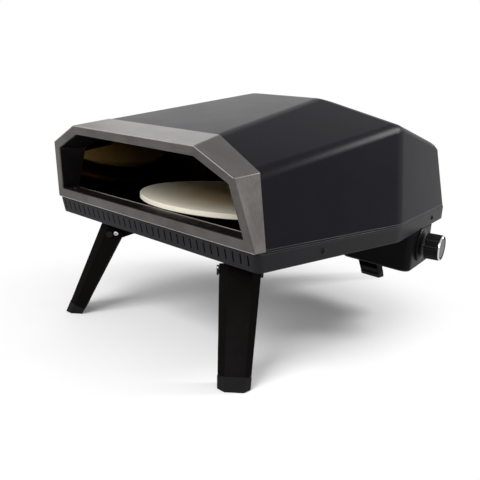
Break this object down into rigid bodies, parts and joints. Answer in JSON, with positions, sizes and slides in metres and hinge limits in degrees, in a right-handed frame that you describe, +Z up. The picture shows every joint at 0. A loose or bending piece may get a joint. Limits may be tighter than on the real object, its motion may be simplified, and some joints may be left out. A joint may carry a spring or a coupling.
{
  "type": "rotating pizza oven",
  "caption": "Portable gas pizza oven with a faceted black hood, wide front mouth, powered rotating stone, side control knob and folding legs.",
  "frame": {"origin": "on the ground, straight below the middle of the whole oven's bounding box", "axes": "+Z up, -Y out of the oven's mouth, +X to the right of someone looking in along +Y, on the control knob's side"},
  "size_m": [0.4912, 0.7438, 0.3993],
  "materials": {
    "hood_paint": "satin black powder coat",
    "mineral_blanket": "matte fibre blanket",
    "chamber_enamel": "gloss black enamel",
    "bezel_finish": "satin metallic bronze grey",
    "screws": "plain",
    "tray_paint": "matte black powder coat",
    "baking_stone": "matte cream cordierite",
    "plain_steel": "plain",
    "gear_nylon": "moulded",
    "valve_brass": "machined",
    "black_plastic": "moulded",
    "cell_jacket": "plain sleeve",
    "switch_plastic": "moulded",
    "white_ceramic": "glazed",
    "knob_plastic": "fluted, satin",
    "bright_ring": "polished",
    "knob_face": "satin grey",
    "leg_enamel": "gloss black",
    "foot_rubber": "moulded",
    "bolt_steel": "darkened"
  },
  "bodies": {
    "oven": {"hood": "hood_paint", "insulation": "mineral_blanket", "liner": "chamber_enamel", "bezel": "bezel_finish", "sill_screw_left": "screws", "sill_screw_right": "screws", "base_tray": "tray_paint", "side_screw_left": "screws", "side_screw_right": "screws", "rear_screw_left": "screws", "rear_screw_right": "screws", "floor_plate": "chamber_enamel", "shaft_bush": "valve_brass", "motor": "plain_steel", "motor_housing": "black_plastic", "battery_left": "cell_jacket", "battery_right": "cell_jacket", "burner_tube": "plain_steel", "gas_riser": "plain_steel", "gas_feed": "plain_steel", "flame_guard": "plain_steel", "igniter": "white_ceramic", "thermocouple": "plain_steel", "control_box": "tray_paint", "gas_valve": "valve_brass", "gas_inlet": "valve_brass", "knob_plate": "knob_plastic", "bracket_front_right": "tray_paint", "pivot_bolt_front_right": "bolt_steel", "bracket_front_left": "tray_paint", "pivot_bolt_front_left": "bolt_steel", "bracket_rear": "tray_paint", "pivot_bolt_rear": "bolt_steel"},
    "turntable": {"turntable": "plain_steel", "stone": "baking_stone", "drive_shaft": "plain_steel", "output_gear": "gear_nylon"},
    "motor_rotor": {"motor_pinion": "gear_nylon"},
    "gas_stem": {"valve_stem": "plain_steel"},
    "gas_knob": {"knob": "knob_plastic", "knob_ring": "bright_ring", "knob_face": "knob_face"},
    "switch": {"motor_switch": "switch_plastic"},
    "battery_cover": {"battery_door": "black_plastic"},
    "leg_front_right": {"leg_front_right": "leg_enamel", "foot_front_right": "foot_rubber"},
    "lock_front_right": {"lock_pin_front_right": "bright_ring"},
    "leg_front_left": {"leg_front_left": "leg_enamel", "foot_front_left": "foot_rubber"},
    "lock_front_left": {"lock_pin_front_left": "bright_ring"},
    "leg_rear": {"leg_rear": "leg_enamel", "foot_rear": "foot_rubber"},
    "lock_rear": {"lock_pin_rear": "bright_ring"}
  },
  "joints": [
    {"name": "turntable_spin", "type": "hinge", "parent": "oven", "child": "turntable", "pos_m": [-0.00737, -0.13482, 0.2167], "axis": [0, 0, 1], "continuous": true},
    {"name": "pinion_spin", "type": "hinge", "parent": "oven", "child": "motor_rotor", "pos_m": [0.03013, -0.13482, 0.187], "axis": [0, 0, 1], "continuous": true},
    {"name": "knob_push", "type": "slide", "parent": "oven", "child": "gas_stem", "axis": [-0.9759, -0.2184, 0], "range_m": [0, 0.004], "stiffness_N_per_m": 900},
    {"name": "knob_turn", "type": "hinge", "parent": "gas_stem", "child": "gas_knob", "pos_m": [0.20003, 0.15128, 0.147], "axis": [0.9759, 0.2184, 0], "range_deg": [0, 135]},
    {"name": "switch_rock", "type": "hinge", "parent": "oven", "child": "switch", "pos_m": [0.04583, -0.15482, 0.1572], "axis": [0, 1, 0], "range_deg": [0, 16]},
    {"name": "battery_cover_slide", "type": "slide", "parent": "oven", "child": "battery_cover", "axis": [0, -1, 0], "range_m": [0, 0.056]},
    {"name": "fold_front_right", "type": "hinge", "parent": "oven", "child": "leg_front_right", "pos_m": [0.14613, -0.28132, 0.15], "axis": [0.7071, 0.7071, 0], "range_deg": [0, 84]},
    {"name": "lock_turn_front_right", "type": "hinge", "parent": "leg_front_right", "child": "lock_front_right", "pos_m": [0.13817, -0.27336, 0.15243], "axis": [-0.7071, -0.7071, 0], "range_deg": [0, 180]},
    {"name": "fold_front_left", "type": "hinge", "parent": "oven", "child": "leg_front_left", "pos_m": [-0.16087, -0.28132, 0.15], "axis": [0.7071, -0.7071, 0], "range_deg": [0, 84]},
    {"name": "lock_turn_front_left", "type": "hinge", "parent": "leg_front_left", "child": "lock_front_left", "pos_m": [-0.15291, -0.27336, 0.15243], "axis": [0.7071, -0.7071, 0], "range_deg": [0, 180]},
    {"name": "fold_rear", "type": "hinge", "parent": "oven", "child": "leg_rear", "pos_m": [-0.00737, 0.28398, 0.15], "axis": [-1, 0, 0], "range_deg": [0, 96]},
    {"name": "lock_turn_rear", "type": "hinge", "parent": "leg_rear", "child": "lock_rear", "pos_m": [-0.00737, 0.27259, 0.15168], "axis": [1, 0, 0], "range_deg": [0, 180]}
  ],
  "couplings": [
    {"joint": "pinion_spin", "follows": "turntable_spin", "ratio": -4}
  ]
}
